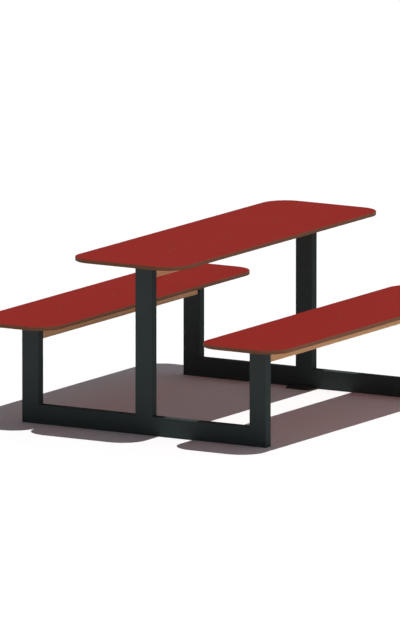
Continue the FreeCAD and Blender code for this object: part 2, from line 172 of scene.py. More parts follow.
def makeRedDecor(spec):
    material, tree = startMaterial("redCompactLaminateFace")
    place = addNode(tree, "ShaderNodeTexCoord").outputs["Object"]
    clouds = addNode(tree, "ShaderNodeTexNoise", {
        "Vector": place, "Scale": perMetre(spec["cloudMm"]), "Detail": 3.0}).outputs["Fac"]
    tone = addNode(tree, "ShaderNodeMix", {
        0: clouds, 6: linear(spec["tone"]), 7: linear(spec["paleTone"])}, data_type="RGBA").outputs[2]
    # short dry scuffs from use, mostly across the board
    across = addNode(tree, "ShaderNodeMapping", {
        "Vector": place, "Rotation": (0.0, 0.0, spec["scuffTurn"]),
        "Scale": [perMetre(size) for size in spec["scuffMm"]]}).outputs[0]
    scuffs = addNode(tree, "ShaderNodeTexNoise", {
        "Vector": across, "Scale": 1.0, "Detail": 6.0, "Roughness": 0.75}).outputs["Fac"]
    scuffMask = addNode(tree, "ShaderNodeMapRange", {
        "Value": scuffs, "From Min": spec["scuffSpan"][0], "From Max": spec["scuffSpan"][1],
        "To Max": spec["scuffShare"]}).outputs[0]
    scuffed = addNode(tree, "ShaderNodeMix", {
        0: scuffMask, 6: tone, 7: linear(spec["scuffTone"])}, data_type="RGBA").outputs[2]
    pearl = addNode(tree, "ShaderNodeTexNoise", {
        "Vector": place, "Scale": perMetre(spec["pearlMm"]), "Detail": 1.5}).outputs["Fac"]
    pearlMask = addNode(tree, "ShaderNodeMapRange", {
        "Value": pearl, "From Min": spec["pearlSpan"][0], "From Max": spec["pearlSpan"][1],
        "To Max": spec["pearlShare"]}).outputs[0]
    colour = addNode(tree, "ShaderNodeMix", {
        0: pearlMask, 6: scuffed, 7: linear(spec["pearlTone"])}, data_type="RGBA").outputs[2]
    roughness = addNode(tree, "ShaderNodeMapRange", {
        "Value": scuffs, "From Min": spec["dullSpan"][0], "From Max": spec["dullSpan"][1],
        "To Min": spec["roughness"][0], "To Max": spec["roughness"][1]}).outputs[0]
    bump = addNode(tree, "ShaderNodeBump", {
        "Height": pearl, "Strength": 0.4, "Distance": spec["pearlHeightMm"] * mm}).outputs[0]
    shader = addNode(tree, "ShaderNodeBsdfPrincipled", {
        "Base Color": colour, "Roughness": roughness, "Normal": bump, "Specular IOR Level": spec["specular"]})
    addNode(tree, "ShaderNodeOutputMaterial", {"Surface": shader.outputs[0]})
    return material


# Kraft paper pressed in phenolic resin, then milled: brown, in thin level layers, waxy where the cutter ran.
kraftCore = {
    "tone": "#83563c",
    "darkTone": "#664533",
    "layerMm": 1.6,  # the real sheets are about 0.25 mm, drawn coarser so that they show
    "fibreMm": (30, 30, 1.2),
    "depthSpan": (0.05, 0.5),
    "layerHeightMm": 0.05,
    "roughness": (0.5, 0.65),
    "specular": 0.08,
}


def makeKraftCore(spec):
    material, tree = startMaterial("phenolicKraftCoreEdge")
    place = addNode(tree, "ShaderNodeTexCoord").outputs["Object"]
    fibrePlace = addNode(tree, "ShaderNodeMapping", {
        "Vector": place, "Scale": [perMetre(size) for size in spec["fibreMm"]]}).outputs[0]
    fibres = addNode(tree, "ShaderNodeTexNoise", {
        "Vector": fibrePlace, "Scale": 1.0, "Detail": 4.0, "Roughness": 0.65}).outputs["Fac"]
    # a wave texture makes 20 bands in 2 pi of its scale
    layers = addNode(tree, "ShaderNodeTexWave", {
        "Vector": place, "Scale": perMetre(spec["layerMm"]) * math.pi / 10, "Distortion": 0.6, "Detail": 2.0},
        wave_type="BANDS", bands_direction="Z").outputs["Fac"]
    mixed = addNode(tree, "ShaderNodeMath", {0: fibres, 1: layers}, operation="MULTIPLY").outputs[0]
    depth = addNode(tree, "ShaderNodeMapRange", {
        "Value": mixed, "From Min": spec["depthSpan"][0], "From Max": spec["depthSpan"][1]}).outputs[0]
    colour = addNode(tree, "ShaderNodeMix", {
        0: depth, 6: linear(spec["darkTone"]), 7: linear(spec["tone"])}, data_type="RGBA").outputs[2]
    roughness = addNode(tree, "ShaderNodeMapRange", {
        "Value": fibres, "From Min": noiseSpan[0], "From Max": noiseSpan[1],
        "To Min": spec["roughness"][0], "To Max": spec["roughness"][1]}).outputs[0]
    bump = addNode(tree, "ShaderNodeBump", {
        "Height": mixed, "Strength": 0.5, "Distance": spec["layerHeightMm"] * mm}).outputs[0]
    shader = addNode(tree, "ShaderNodeBsdfPrincipled", {
        "Base Color": colour, "Roughness": roughness, "Normal": bump, "Specular IOR Level": spec["specular"]})
    addNode(tree, "ShaderNodeOutputMaterial", {"Surface": shader.outputs[0]})
    return material


# Planed larch, oiled: warm tan, growth rings that end in a dark line, long fibres, a dry silky surface.
larch = {
    "ringMm": 5.0,
    "unevenMm": 16,
    "wanderMm": 24,
    "wanderLengthMm": (80, 520, 80),
    "lateSharpness": 3.0,
    "fibreMm": (1.3, 70, 1.3),  # real fibres are about 0.05 mm wide, drawn coarser so that they show
    "fibreSpan": (0.5, 0.8),
    "fibreShare": 0.55,
    "fibreHeightMm": 0.12,
    "roughness": (0.52, 0.7),
    "specular": 0.25,
}
# Each rail has tones of its own, partly because each plank differs and mostly as painted light: the table and
# left rails are paler, painted light where they sit in shade, the table's also pinker like red light bounced
# up from the right bench, and the right rail is a little darker, painted shade.
railTonesWithPaintedLight = {
    "left_seat": dict(larch, early="#e9b481", late="#c28858", fibreTone="#a57148"),
    "table": dict(larch, early="#f0b684", late="#cc8a5c", fibreTone="#ae724b"),
    "right_seat": dict(larch, early="#e0ae7b", late="#b98253", fibreTone="#9c6a42"),
}


def makeLarch(name, spec, middle, pith):
    material, tree = startMaterial(name)
    place = addNode(tree, "ShaderNodeTexCoord").outputs["Object"]
    local = addNode(tree, "ShaderNodeMapping", {
        "Vector": place, "Location": (-middle.x, -middle.y, -middle.z)}).outputs[0]
    wanderPlace = addNode(tree, "ShaderNodeMapping", {
        "Vector": place, "Scale": [perMetre(size) for size in spec["wanderLengthMm"]]}).outputs[0]
    wander = addNode(tree, "ShaderNodeTexNoise", {
        "Vector": wanderPlace, "Scale": 1.0, "Detail": 3.0}).outputs["Fac"]
    # growth rings are circles about the pith, which lies off to one side of the rail
    fromPith = addNode(tree, "ShaderNodeVectorMath", {
        0: local, 1: (-pith[0] * mm, 0.0, -pith[1] * mm)}, operation="ADD").outputs[0]
    flat = addNode(tree, "ShaderNodeVectorMath", {
        0: fromPith, 1: (1.0, 0.0, 1.0)}, operation="MULTIPLY").outputs[0]
    radius = addNode(tree, "ShaderNodeVectorMath", {0: flat}, operation="LENGTH").outputs["Value"]
    years = addNode(tree, "ShaderNodeMath", {
        0: radius, 1: perMetre(spec["ringMm"])}, operation="MULTIPLY").outputs[0]
    drifted = addNode(tree, "ShaderNodeMath", {
        0: wander, 1: spec["wanderMm"] / spec["ringMm"], 2: years}, operation="MULTIPLY_ADD").outputs[0]
    # wide years and narrow ones
    luck = addNode(tree, "ShaderNodeTexNoise", {
        "W": drifted, "Scale": 0.3, "Detail": 2.0}, noise_dimensions="1D").outputs["Fac"]
    year = addNode(tree, "ShaderNodeMath", {
        0: luck, 1: spec["unevenMm"] / spec["ringMm"], 2: drifted}, operation="MULTIPLY_ADD").outputs[0]
    season = addNode(tree, "ShaderNodeMath", {0: year}, operation="FRACT").outputs[0]
    lateWood = addNode(tree, "ShaderNodeMath", {
        0: season, 1: spec["lateSharpness"]}, operation="POWER").outputs[0]
    rings = addNode(tree, "ShaderNodeMix", {
        0: lateWood, 6: linear(spec["early"]), 7: linear(spec["late"])}, data_type="RGBA").outputs[2]
    fibrePlace = addNode(tree, "ShaderNodeMapping", {
        "Vector": place, "Scale": [perMetre(size) for size in spec["fibreMm"]]}).outputs[0]
    fibres = addNode(tree, "ShaderNodeTexNoise", {
        "Vector": fibrePlace, "Scale": 1.0, "Detail": 4.0, "Roughness": 0.7}).outputs["Fac"]
    fibreMask = addNode(tree, "ShaderNodeMapRange", {
        "Value": fibres, "From Min": spec["fibreSpan"][0], "From Max": spec["fibreSpan"][1],
        "To Max": spec["fibreShare"]}).outputs[0]
    colour = addNode(tree, "ShaderNodeMix", {
        0: fibreMask, 6: rings, 7: linear(spec["fibreTone"])}, data_type="RGBA").outputs[2]
    roughness = addNode(tree, "ShaderNodeMapRange", {
        "Value": fibres, "From Min": noiseSpan[0], "From Max": noiseSpan[1],
        "To Min": spec["roughness"][0], "To Max": spec["roughness"][1]}).outputs[0]
    bump = addNode(tree, "ShaderNodeBump", {
        "Height": fibres, "Strength": 0.5, "Distance": spec["fibreHeightMm"] * mm}).outputs[0]
    shader = addNode(tree, "ShaderNodeBsdfPrincipled", {
        "Base Color": colour, "Roughness": roughness, "Normal": bump, "Specular IOR Level": spec["specular"]})
    addNode(tree, "ShaderNodeOutputMaterial", {"Surface": shader.outputs[0]})
    return material


# Stainless steel, cold-headed and tumbled: pale grey metal with a fine satin scratch.
stainless = {
    "tone": "#aeaca6",
    "darkTone": "#8b8983",
    "grazingTone": "#c4c4c0",
    "scratchMm": 1.2,
    "scratchHeightMm": 0.02,
    "roughness": (0.32, 0.5),
}
# The screws in the boards lie in the weather and have gone dull.
weathered = dict(stainless, tone="#6c6a65", darkTone="#54524e", grazingTone="#7e7e7c")


def makeStainless(name, spec):
    material, tree = startMaterial(name)
    place = addNode(tree, "ShaderNodeTexCoord").outputs["Object"]
    scratches = addNode(tree, "ShaderNodeTexNoise", {
        "Vector": place, "Scale": perMetre(spec["scratchMm"]),
        "Detail": 4.0, "Roughness": 0.7}).outputs["Fac"]
    colour = addNode(tree, "ShaderNodeMix", {
        0: scratches, 6: linear(spec["darkTone"]), 7: linear(spec["tone"])}, data_type="RGBA").outputs[2]
    roughness = addNode(tree, "ShaderNodeMapRange", {
        "Value": scratches, "From Min": noiseSpan[0], "From Max": noiseSpan[1],
        "To Min": spec["roughness"][0], "To Max": spec["roughness"][1]}).outputs[0]
    bump = addNode(tree, "ShaderNodeBump", {
        "Height": scratches, "Strength": 0.4, "Distance": spec["scratchHeightMm"] * mm}).outputs[0]
    shader = addNode(tree, "ShaderNodeBsdfPrincipled", {
        "Base Color": colour, "Roughness": roughness, "Normal": bump, "Metallic": 1.0,
        "Specular Tint": linear(spec["grazingTone"])})
    addNode(tree, "ShaderNodeOutputMaterial", {"Surface": shader.outputs[0]})
    return material


coatFinish = makePowderCoat(powderCoat)
faceFinish = makeRedDecor(redDecor)
coreFinish = makeKraftCore(kraftCore)
fixingFinish = makeStainless("satinStainlessSteel", stainless)
screwFinish = makeStainless("weatheredStainlessSteel", weathered)
print("materials made")


# a rectangle about the origin, each corner with its own radius, or square where that is 0
def roundedOutline(halfX, halfY, radii, segments):
    points = []
    for quarter, (sideX, sideY) in enumerate(((1, 1), (-1, 1), (-1, -1), (1, -1))):
        radius = radii[quarter]
        steps = segments if radius else 0
        for step in range(steps + 1):
            angle = math.pi / 2 * (quarter + step / max(steps, 1))
            points.append((sideX * (halfX - radius) + radius * math.cos(angle),
                           sideY * (halfY - radius) + radius * math.sin(angle)))
    return points


def skin(bm, loops, capLow=True, capHigh=True):
    rings = [[bm.verts.new(point) for point in loop] for loop in loops]
    bands = []
    for lower, upper in zip(rings, rings[1:]):
        follow = lower[1:] + lower[:1]
        followUpper = upper[1:] + upper[:1]
        bands.append([bm.faces.new(corners) for corners in zip(lower, follow, followUpper, upper)])
    caps = []
    if capLow:
        caps.append(bm.faces.new(list(reversed(rings[0]))))
    if capHigh:
        caps.append(bm.faces.new(rings[-1]))
    return rings, bands, caps


def loopEdges(bm, ring):
    return [bm.edges.get((a, b)) for a, b in zip(ring, ring[1:] + ring[:1])]


def joinIn(piece, slot, *nodes):
    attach(piece, "root")
    if nodes:
        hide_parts(*nodes)


def makePiece(name, bm, finishes, slot, *nodes):
    bmesh.ops.recalc_face_normals(bm, faces=bm.faces)
    mesh = bpy.data.meshes.new(name)
    bm.to_mesh(mesh)
    bm.free()
    mesh.shade_smooth()
    for finish in finishes:
        mesh.materials.append(finish)
    piece = addObject(name, mesh)
    even = piece.modifiers.new("evenNormals", "WEIGHTED_NORMAL")
    even.weight = 100
    joinIn(piece, slot, *nodes)
    return piece


# Frames: tube with rounded corners, mitred where a beam meets a seat post.
tube = {
    "cornerRadius": 2 * mm,
    "cornerSegments": 6,
    "endEase": 0.4 * mm,
}


# place turns a point of the section and a length into a point of the set
def tubeLoops(halfU, halfV, place, start, finish):
    ease = tube["endEase"]
    radius = tube["cornerRadius"]
    loops = []
    for inset, side, along in ((ease, start, 0), (0, start, ease), (0, finish, -ease), (ease, finish, 0)):
        outline = roundedOutline(halfU - inset, halfV - inset, [radius - inset] * 4, tube["cornerSegments"])
        loops.append([place(u, v, side(u) + along) for u, v in outline])
    return loops


def makePost(end, line):
    node = end + "_" + line + "_post"
    low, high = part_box(node)
    middle = (low + high) / 2
    halfU = (high.x - low.x) / 2
    halfV = (high.y - low.y) / 2
    slope = {"left_seat": 1, "table": 0, "right_seat": -1}[line]
    loops = tubeLoops(
        halfU, halfV,
        lambda u, v, z: Vector((middle.x + u, middle.y + v, z)),
        lambda u: low.z + slope * u + abs(slope) * halfU,
        lambda u: high.z)
    bm = bmesh.new()
    skin(bm, loops)
    makePiece(node + "_tube", bm, [coatFinish], "coated_steel", node)


def makeBeam(end):
    node = end + "_base_beam"
    low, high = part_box(node)
    middle = (low + high) / 2
    halfU = (high.z - low.z) / 2
    halfV = (high.y - low.y) / 2
    loops = tubeLoops(
        halfU, halfV,
        lambda u, v, x: Vector((x, middle.y + v, middle.z + u)),
        lambda u: low.x + u + halfU,
        lambda u: high.x - u - halfU)
    bm = bmesh.new()
    skin(bm, loops)
    makePiece(node + "_tube", bm, [coatFinish], "coated_steel", node)


for end in ends:
    makeBeam(end)
    for line in lines:
        makePost(end, line)
print("frames made")


# Bearers: flat bar with rounded corners and eased edges.
bearer = {
    "cornerRadius": 6 * mm,
    "cornerSegments": 6,
    "ease": 0.6 * mm,
}


def makeBearer(end, line):
    node = end + "_" + line + "_bearer"
    low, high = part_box(node)
    middle = (low + high) / 2
    ease = bearer["ease"]
    loops = []
    for inset, z in ((ease, low.z), (0, low.z + ease), (0, high.z - ease), (ease, high.z)):
        outline = roundedOutline((high.x - low.x) / 2 - inset, (high.y - low.y) / 2 - inset,
                                 [bearer["cornerRadius"] - inset] * 4, bearer["cornerSegments"])
        loops.append([Vector((middle.x + x, middle.y + y, z)) for x, y in outline])
    bm = bmesh.new()
    skin(bm, loops)
    makePiece(node + "_bar", bm, [coatFinish], "coated_steel", node)


# Anchor plates: a flat tongue welded to the beam's inner side, with a hole for a ground bolt.
anchor = {
    "cornerRadius": 10 * mm,
    "cornerSegments": 8,
    "holeRadius": 7 * mm,
    "holeInset": 30 * mm,
    "holeSegments": 32,
    "ease": 0.8 * mm,
    "leastRadius": 0.05 * mm,
}


def makeAnchor(end):
    node = end + "_anchor_plate"
    low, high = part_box(node)
    middle = (low + high) / 2
    ease = anchor["ease"]
    bend = anchor["cornerRadius"]
    square = ease  # the two corners against the beam are only eased
    radii = [bend, bend, square, square] if end == "front" else [square, square, bend, bend]
    holeY = high.y - anchor["holeInset"] if end == "front" else low.y + anchor["holeInset"]
    levels = ((ease, low.z), (0, low.z + ease), (0, high.z - ease), (ease, high.z))
    outer = []
    inner = []
    for inset, z in levels:
        outline = roundedOutline((high.x - low.x) / 2 - inset, (high.y - low.y) / 2 - inset,
                                 [max(radius - inset, anchor["leastRadius"]) for radius in radii],
                                 anchor["cornerSegments"])
        outer.append([Vector((middle.x + x, middle.y + y, z)) for x, y in outline])
        ring = []
        for step in range(anchor["holeSegments"]):
            angle = 2 * math.pi * step / anchor["holeSegments"]
            reach = anchor["holeRadius"] + inset
            ring.append(Vector((middle.x + reach * math.cos(angle), holeY + reach * math.sin(angle), z)))
        inner.append(ring)
    bm = bmesh.new()
    outerRings = skin(bm, outer, False, False)[0]
    innerRings = skin(bm, inner, False, False)[0]
    for level in (0, -1):
        rim = loopEdges(bm, outerRings[level]) + loopEdges(bm, innerRings[level])
        bmesh.ops.triangle_fill(bm, edges=rim, use_beauty=True, use_dissolve=False)
    makePiece(node + "_tongue", bm, [coatFinish], "coated_steel", node)


for end in ends:
    makeAnchor(end)
    for line in lines:
        makeBearer(end, line)
        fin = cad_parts[end + "_" + line + "_rail_fin"]
        fin.data.materials.clear()
        fin.data.materials.append(coatFinish)
print("bearers and anchor plates made")


# Boards: compact laminate with large corners, red faces and a brown milled edge.
board = {
    "cornerRadius": 110 * mm,
    "cornerSegments": 28,
    "chamfer": 1.5 * mm,
    "decor": 0.5 * mm,
    "sinkRadius": 5.45 * mm,
    "sinkFloorRadius": 2.8 * mm,
    "sinkSegments": 32,
}


def screwPlaces(line):
    low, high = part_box(line + "_board_screws")
    reach = (high.y - low.y) / 2 - (high.x - low.x) / 2
    middle = (low + high) / 2
    return [Vector((middle.x, middle.y + side * reach, high.z)) for side in (-1, 0, 1)]


def makeBoard(line):
    node = line + "_board"
    low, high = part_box(node)
    middle = (low + high) / 2
    chamfer = board["chamfer"]
    decor = board["decor"]
    levels = ((chamfer, low.z), (chamfer - decor, low.z + decor), (0, low.z + chamfer),
              (0, high.z - chamfer), (chamfer - decor, high.z - decor), (chamfer, high.z))
    loops = []
    for inset, z in levels:
        outline = roundedOutline((high.x - low.x) / 2 - inset, (high.y - low.y) / 2 - inset,
                                 [board["cornerRadius"] - inset] * 4, board["cornerSegments"])
        loops.append([Vector((middle.x + x, middle.y + y, z)) for x, y in outline])
    bm = bmesh.new()
    rings, bands = skin(bm, loops, True, False)[:2]
    for band in bands[1:-1]:
        for face in band:
            face.material_index = 1
    # a countersink for each screw, brown inside
    rim = loopEdges(bm, rings[-1])
    for spot in screwPlaces(line):
        sink = []
        depth = board["sinkRadius"] - board["sinkFloorRadius"]
        for reach, z in ((board["sinkRadius"], high.z), (board["sinkFloorRadius"], high.z - depth)):
            sink.append([Vector((spot.x + reach * math.cos(2 * math.pi * step / board["sinkSegments"]),
                                 spot.y + reach * math.sin(2 * math.pi * step / board["sinkSegments"]), z))
                         for step in range(board["sinkSegments"])])
        sinkRings, sinkBands, sinkCaps = skin(bm, sink, False, True)
        for face in sinkBands[0] + sinkCaps:
            face.material_index = 1
        rim += loopEdges(bm, sinkRings[0])
    bmesh.ops.triangle_fill(bm, edges=rim, use_beauty=True, use_dissolve=False)
    makePiece(node + "_panel", bm, [faceFinish, coreFinish], "red_laminate", node)


for line in lines:
    makeBoard(line)
print("boards made")


# Rails: planed timber with eased edges, slotted at each end for the frame's fin.
rail = {
    "edgeRadius": 4 * mm,
    "edgeSegments": 5,
    "endEase": 1.2 * mm,
    "slotWidth": 7 * mm,
    "slotLength": 99.5 * mm,
    "slotDepth": 58.5 * mm,
    "sawSpare": 5 * mm,  # how far the saw runs past the wood
    "pith": {"left_seat": (46, 70), "table": (-58, 62), "right_seat": (-40, -74)},  # mm from the middle
}


def makeRail(line):
    node = line + "_rail"
    low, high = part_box(node)
    middle = (low + high) / 2
    halfX = (high.x - low.x) / 2
    halfZ = (high.z - low.z) / 2
    ease = rail["endEase"]
    loops = []
    for inset, y in ((ease, low.y), (0, low.y + ease), (0, high.y - ease), (ease, high.y)):
        outline = roundedOutline(halfX - inset, halfZ - inset,
                                 [rail["edgeRadius"] - inset] * 4, rail["edgeSegments"])
        loops.append([Vector((middle.x + x, y, middle.z + z)) for x, z in outline])
    bm = bmesh.new()
    skin(bm, loops)
    # the rail's own tones, with painted light and painted shade in them
    finish = makeLarch(line + "PlanedLarch", railTonesWithPaintedLight[line], middle, rail["pith"][line])
    piece = makePiece(node + "_beam", bm, [finish], "timber", node)
    # the saw cuts for the fins, open at the top and at the end
    cutters = bmesh.new()
    spare = rail["sawSpare"]
    for side in (-1, 1):
        endY = high.y if side > 0 else low.y
        size = Vector((rail["slotWidth"], rail["slotLength"] + spare, rail["slotDepth"] + spare))
        centre = Vector((middle.x, endY - side * (rail["slotLength"] - spare) / 2,
                         high.z - (rail["slotDepth"] - spare) / 2))
        shape = Matrix.Translation(centre) @ Matrix.Diagonal(size).to_4x4()
        bmesh.ops.create_cube(cutters, size=1.0, matrix=shape)
    cutMesh = bpy.data.meshes.new("railSawCuts")
    cutters.to_mesh(cutMesh)
    cutters.free()
    cutter = addObject("railSawCuts", cutMesh)
    saw = piece.modifiers.new("sawCuts", "BOOLEAN")
    saw.operation = "DIFFERENCE"
    saw.solver = "EXACT"
    saw.object = cutter
    piece.modifiers.move(len(piece.modifiers) - 1, 0)
    depsgraph = bpy.context.evaluated_depsgraph_get()
    sawn = bpy.data.meshes.new_from_object(piece.evaluated_get(depsgraph))
    piece.modifiers.clear()
    piece.data = sawn
    bpy.data.objects.remove(cutter)


for line in lines:
    makeRail(line)
print("rails made")


# Fixings: one turned shape of each kind, set at its points by one tree.
fixings = {
    "segments": 24,
    "sharpDegrees": 38,
    "point": 0.4 * mm,
    "socketFloor": (0.5, 0.3),  # width and depth of the drill's cone, of half the socket
    "boardScrew": {"head": 9.5 * mm, "shank": 5 * mm, "rim": 0.4 * mm, "tip": 6 * mm,
                   "socket": 3 * mm, "socketDepth": 2 * mm, "ease": 0.25 * mm},
    "bearerScrew": {"head": 11 * mm, "shank": 5.5 * mm, "height": 3.4 * mm, "ease": 1.2 * mm, "easeSteps": 6,
                    "socket": 4 * mm, "socketDepth": 2 * mm},
    "connector": {"head": 17 * mm, "height": 2.5 * mm, "ease": 0.8 * mm, "easeSteps": 4, "pitch": 44 * mm,
                  "shank": {"connector_bolts": 6 * mm, "sleeve_nuts": 9 * mm}, "endTaper": 0.2,
                  "socket": 4 * mm, "socketDepth": 1.6 * mm},
}


def newTree(name, sockets):
    tree = bpy.data.node_groups.new(name, "GeometryNodeTree")
    tree.interface.new_socket("Geometry", in_out="INPUT", socket_type="NodeSocketGeometry")
    tree.interface.new_socket("Geometry", in_out="OUTPUT", socket_type="NodeSocketGeometry")
    keys = {}
    for label, kind in sockets.items():
        keys[label] = tree.interface.new_socket(label, in_out="INPUT", socket_type=kind).identifier
    return tree, keys, addNode(tree, "NodeGroupInput").outputs


def makeFixingTree():
    tree, keys, given = newTree("fixingAtPoints", {
        "Fixing": "NodeSocketObject", "Turn": "NodeSocketVector", "Finish": "NodeSocketMaterial"})
    shape = addNode(tree, "GeometryNodeObjectInfo", {"Object": given["Fixing"]}).outputs["Geometry"]
    placed = addNode(tree, "GeometryNodeInstanceOnPoints", {
        "Points": given["Geometry"], "Instance": shape, "Rotation": given["Turn"]}).outputs[0]
    real = addNode(tree, "GeometryNodeRealizeInstances", {"Geometry": placed}).outputs[0]
    dressed = addNode(tree, "GeometryNodeSetMaterial", {
        "Geometry": real, "Material": given["Finish"]}).outputs[0]
    addNode(tree, "NodeGroupOutput", {"Geometry": dressed})
    return tree, keys


# rings of a turned shape from its tip up: radius, height, and whether the ring is the flat-sided socket
def turnedFixing(name, rings):
    count = fixings["segments"]
    loops = []
    for radius, z, socket in rings:
        loop = []
        for step in range(count):
            angle = 2 * math.pi * step / count
            flat = (angle % (math.pi / 3)) - math.pi / 6
            reach = radius / math.cos(flat) if socket else radius
            loop.append(Vector((reach * math.cos(angle), reach * math.sin(angle), z)))
        loops.append(loop)
    bm = bmesh.new()
    skin(bm, loops)
    bmesh.ops.recalc_face_normals(bm, faces=bm.faces)
    mesh = bpy.data.meshes.new(name)
    bm.to_mesh(mesh)
    bm.free()
    mesh.shade_smooth()
    mesh.set_sharp_from_angle(angle=math.radians(fixings["sharpDegrees"]))
    return addObject(name, mesh)


def growPiece(name, points, edges, tree, keys, values):
    mesh = bpy.data.meshes.new(name)
    mesh.from_pydata(points, edges, [])
    piece = addObject(name, mesh)
    grow = piece.modifiers.new("grow", "NODES")
    grow.node_group = tree
    for label, value in values.items():
        grow[keys[label]] = value
    depsgraph = bpy.context.evaluated_depsgraph_get()
    grown = bpy.data.meshes.new_from_object(piece.evaluated_get(depsgraph))
    piece.modifiers.clear()
    piece.data = grown
    return piece


def socketRings(half, top, depth):
    wide, deep = fixings["socketFloor"]
    return [(half, top, True), (half, top - depth, True), (half * wide, top - depth - half * deep, False)]


# the rounded rim of a head, from its side to its top
def easedRim(spec):
    side = spec["head"] / 2 - spec["ease"]
    base = spec["height"] - spec["ease"]
    turns = [math.pi / 2 * step / spec["easeSteps"] for step in range(spec["easeSteps"] + 1)]
    return [(side + spec["ease"] * math.cos(turn), base + spec["ease"] * math.sin(turn), False)
            for turn in turns]


def boardScrewShape(length):
    spec = fixings["boardScrew"]
    head = spec["head"] / 2
    shank = spec["shank"] / 2
    return turnedFixing("boardScrewShape", [
        (fixings["point"], -length, False), (shank, spec["tip"] - length, False),
        (shank, shank - head - spec["rim"], False), (head, -spec["rim"], False),
        (head, -spec["ease"], False), (head - spec["ease"], 0, False),
        *socketRings(spec["socket"] / 2, 0, spec["socketDepth"])])


def bearerScrewShape(length):
    spec = fixings["bearerScrew"]
    head = spec["head"] / 2
    shank = spec["shank"] / 2
    top = spec["height"]
    return turnedFixing("bearerScrewShape", [
        (fixings["point"], top - length, False), (shank, top - length + shank, False),
        (shank, 0, False), (head, 0, False), *easedRim(spec),
        *socketRings(spec["socket"] / 2, top, spec["socketDepth"])])


def connectorShape(kind, length):
    spec = fixings["connector"]
    head = spec["head"] / 2
    shank = spec["shank"][kind] / 2
    top = spec["height"]
    taper = shank * spec["endTaper"]
    return turnedFixing(kind + "Shape", [
        (shank - taper, top - length, False), (shank, top - length + taper, False),
        (shank, 0, False), (head, 0, False), *easedRim(spec),
        *socketRings(spec["socket"] / 2, top, spec["socketDepth"])])


fixingTree, fixingKeys = makeFixingTree()


def setFixings(shape, spots, turn, node, finish):
    piece = growPiece(node + "_turned", spots, [], fixingTree, fixingKeys, {
        "Fixing": shape, "Turn": turn, "Finish": finish})
    bpy.data.objects.remove(shape)
    joinIn(piece, "stainless_steel", node)


for line in lines:
    node = line + "_board_screws"
    low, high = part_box(node)
    shape = boardScrewShape(high.z - low.z)
    setFixings(shape, screwPlaces(line), (0.0, 0.0, 0.0), node, screwFinish)

    node = line + "_bearer_screws"
    low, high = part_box(node)
    inset = fixings["bearerScrew"]["head"] / 2
    seat = low.z + fixings["bearerScrew"]["height"]
    spots = [(x, y, seat) for x in (low.x + inset, high.x - inset) for y in (low.y + inset, high.y - inset)]
    shape = bearerScrewShape(high.z - low.z)
    setFixings(shape, spots, (math.pi, 0.0, 0.0), node, fixingFinish)

    for kind, turn in (("connector_bolts", 1), ("sleeve_nuts", -1)):
        node = line + "_" + kind
        low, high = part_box(node)
        spec = fixings["connector"]
        outer = high.y - spec["head"] / 2
        face = high.x - spec["height"] if turn > 0 else low.x + spec["height"]
        height = (low.z + high.z) / 2
        spots = [(face, side * y, height) for side in (-1, 1) for y in (outer, outer - spec["pitch"])]
        shape = connectorShape(kind, high.x - low.x)
        setFixings(shape, spots, (0.0, turn * math.pi / 2, 0.0), node, fixingFinish)
print("fixings set")


# Welds: small rippled beads along the joints of each frame, under the same coat.
weld = {
    "bead": 2.0 * mm,
    "beadSides": 8,
    "ripple": 2.6 * mm,
    "rippleDepth": 0.14,
    "stepsPerRipple": 4.0,
    "flushSink": 1.7 * mm,
    "flushDrop": 1.0 * mm,
    "endGap": 4 * mm,
}


def makeWeldTree():
    tree, keys, given = newTree("weldAlongJoint", {
        "Bead": "NodeSocketFloat", "Ripple": "NodeSocketFloat", "Depth": "NodeSocketFloat",
        "Finish": "NodeSocketMaterial"})
    step = addNode(tree, "ShaderNodeMath", {
        0: given["Ripple"], 1: weld["stepsPerRipple"]}, operation="DIVIDE").outputs[0]
    path = addNode(tree, "GeometryNodeMeshToCurve", {"Mesh": given["Geometry"]}).outputs[0]
    even = addNode(tree, "GeometryNodeResampleCurve", {
        "Curve": path, "Length": step}, mode="LENGTH").outputs[0]
    along = addNode(tree, "GeometryNodeSplineParameter").outputs["Length"]
    share = addNode(tree, "ShaderNodeMath", {0: along, 1: given["Ripple"]}, operation="DIVIDE").outputs[0]
    turn = addNode(tree, "ShaderNodeMath", {0: share, 1: 2 * math.pi}, operation="MULTIPLY").outputs[0]
    wave = addNode(tree, "ShaderNodeMath", {0: turn}, operation="SINE").outputs[0]
    swell = addNode(tree, "ShaderNodeMath", {
        0: wave, 1: given["Depth"], 2: 1.0}, operation="MULTIPLY_ADD").outputs[0]
    section = addNode(tree, "GeometryNodeCurvePrimitiveCircle", {
        "Resolution": weld["beadSides"], "Radius": given["Bead"]}).outputs["Curve"]
    bead = addNode(tree, "GeometryNodeCurveToMesh", {
        "Curve": even, "Profile Curve": section, "Scale": swell, "Fill Caps": True}).outputs[0]
    smooth = addNode(tree, "GeometryNodeSetShadeSmooth", {"Geometry": bead}).outputs[0]
    real = addNode(tree, "GeometryNodeRealizeInstances", {"Geometry": smooth}).outputs[0]
    dressed = addNode(tree, "GeometryNodeSetMaterial", {
        "Geometry": real, "Material": given["Finish"]}).outputs[0]
    addNode(tree, "NodeGroupOutput", {"Geometry": dressed})
    return tree, keys


